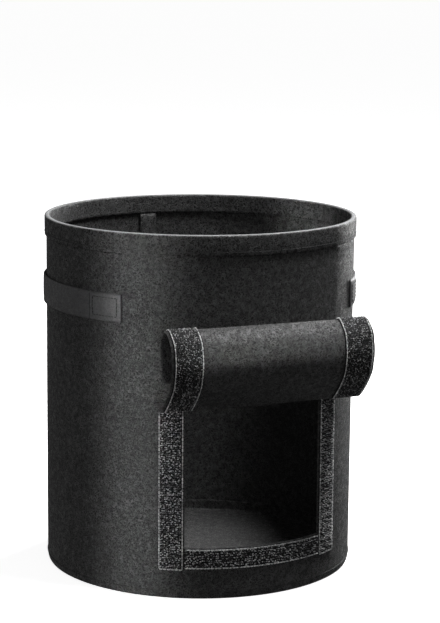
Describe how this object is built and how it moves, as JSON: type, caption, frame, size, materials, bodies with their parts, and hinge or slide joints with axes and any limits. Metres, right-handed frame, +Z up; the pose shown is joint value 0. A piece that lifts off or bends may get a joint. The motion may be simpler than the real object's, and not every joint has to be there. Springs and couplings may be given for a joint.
{
  "type": "fabric grow bag",
  "caption": "Round black felt grow bag with strap handles and a front harvest window; its hook-and-loop flap is rolled up and unrolls over the window.",
  "frame": {"origin": "centre of the base's underside, on the bag's axis, where the bag stands", "axes": "+Z up along the bag's axis; -Y out through the harvest window; the handles are on -X and +X"},
  "size_m": [0.3558, 0.3953, 0.4],
  "materials": {
    "felt": "charcoal needle-punched nonwoven felt, matt, with fine pale fibre specks",
    "rim_felt": "the same felt folded as a binding",
    "strap": "black felt strap, pressed flat",
    "hook_tape": "black nylon hook tape, rough and speckled",
    "loop_tape": "black nylon loop tape, fuzzy and speckled",
    "thread": "dark grey polyester thread with a slight shine"
  },
  "bodies": {
    "bag": {"wall_panel": "felt", "base_disc": "felt", "base_stitches": "thread", "back_seam_lap": "felt", "back_seam_stitches": "thread", "rim_binding": "rim_felt", "rim_stitches": "thread", "hook_tape_left": "hook_tape", "hook_tape_right": "hook_tape", "hook_tape_bottom": "hook_tape", "hook_tape_stitches": "thread", "flap_seam_strip": "felt", "flap_seam_stitches": "thread", "flap_top_edge": "felt", "handle_left_front_end": "strap", "handle_left_back_end": "strap", "handle_right_front_end": "strap", "handle_right_back_end": "strap", "handle_stitches": "thread"},
    "flap_1": {"flap_section_1": "felt", "flap_loop_tape_1": "loop_tape"},
    "flap_2": {"flap_section_2": "felt", "flap_loop_tape_2": "loop_tape"},
    "flap_3": {"flap_section_3": "felt", "flap_loop_tape_3": "loop_tape"},
    "flap_4": {"flap_section_4": "felt", "flap_loop_tape_4": "loop_tape"},
    "flap_5": {"flap_section_5": "felt", "flap_loop_tape_5": "loop_tape"},
    "flap_6": {"flap_section_6": "felt", "flap_loop_tape_6": "loop_tape"},
    "flap_7": {"flap_section_7": "felt", "flap_loop_tape_7": "loop_tape"},
    "flap_8": {"flap_section_8": "felt", "flap_loop_tape_8": "loop_tape"},
    "left_handle": {"handle_left_grip": "strap"},
    "right_handle": {"handle_right_grip": "strap"}
  },
  "joints": [
    {"name": "flap_unroll", "type": "hinge", "parent": "bag", "child": "flap_1", "pos_m": [0, -0.1805, 0.217], "axis": [1, 0, 0], "range_deg": [0, 133]},
    {"name": "flap_bend_2", "type": "hinge", "parent": "flap_1", "child": "flap_2", "pos_m": [0, -0.19681, 0.23221], "axis": [1, 0, 0], "range_deg": [0, 9]},
    {"name": "flap_bend_3", "type": "hinge", "parent": "flap_2", "child": "flap_3", "pos_m": [0, -0.21054, 0.24978], "axis": [1, 0, 0], "range_deg": [0, 26]},
    {"name": "flap_bend_4", "type": "hinge", "parent": "flap_3", "child": "flap_4", "pos_m": [0, -0.21518, 0.27159], "axis": [1, 0, 0], "range_deg": [0, 22]},
    {"name": "flap_bend_5", "type": "hinge", "parent": "flap_4", "child": "flap_5", "pos_m": [0, -0.2113, 0.29356], "axis": [1, 0, 0], "range_deg": [0, 42]},
    {"name": "flap_bend_6", "type": "hinge", "parent": "flap_5", "child": "flap_6", "pos_m": [0, -0.19373, 0.30728], "axis": [1, 0, 0], "range_deg": [0, 80]},
    {"name": "flap_bend_7", "type": "hinge", "parent": "flap_6", "child": "flap_7", "pos_m": [0, -0.17716, 0.29236], "axis": [1, 0, 0], "range_deg": [0, 54]},
    {"name": "flap_bend_8", "type": "hinge", "parent": "flap_7", "child": "flap_8", "pos_m": [0, -0.17949, 0.27019], "axis": [1, 0, 0], "range_deg": [0, 16]},
    {"name": "left_handle_pull", "type": "slide", "parent": "bag", "child": "left_handle", "axis": [-1, 0, 0], "range_m": [0, 0.03]},
    {"name": "right_handle_pull", "type": "slide", "parent": "bag", "child": "right_handle", "axis": [1, 0, 0], "range_m": [0, 0.03]}
  ],
  "couplings": [
    {"joint": "flap_bend_2", "follows": "flap_unroll", "ratio": 0.067669},
    {"joint": "flap_bend_3", "follows": "flap_unroll", "ratio": 0.19549},
    {"joint": "flap_bend_4", "follows": "flap_unroll", "ratio": 0.16541},
    {"joint": "flap_bend_5", "follows": "flap_unroll", "ratio": 0.31579},
    {"joint": "flap_bend_6", "follows": "flap_unroll", "ratio": 0.6015},
    {"joint": "flap_bend_7", "follows": "flap_unroll", "ratio": 0.40602},
    {"joint": "flap_bend_8", "follows": "flap_unroll", "ratio": 0.1203}
  ]
}
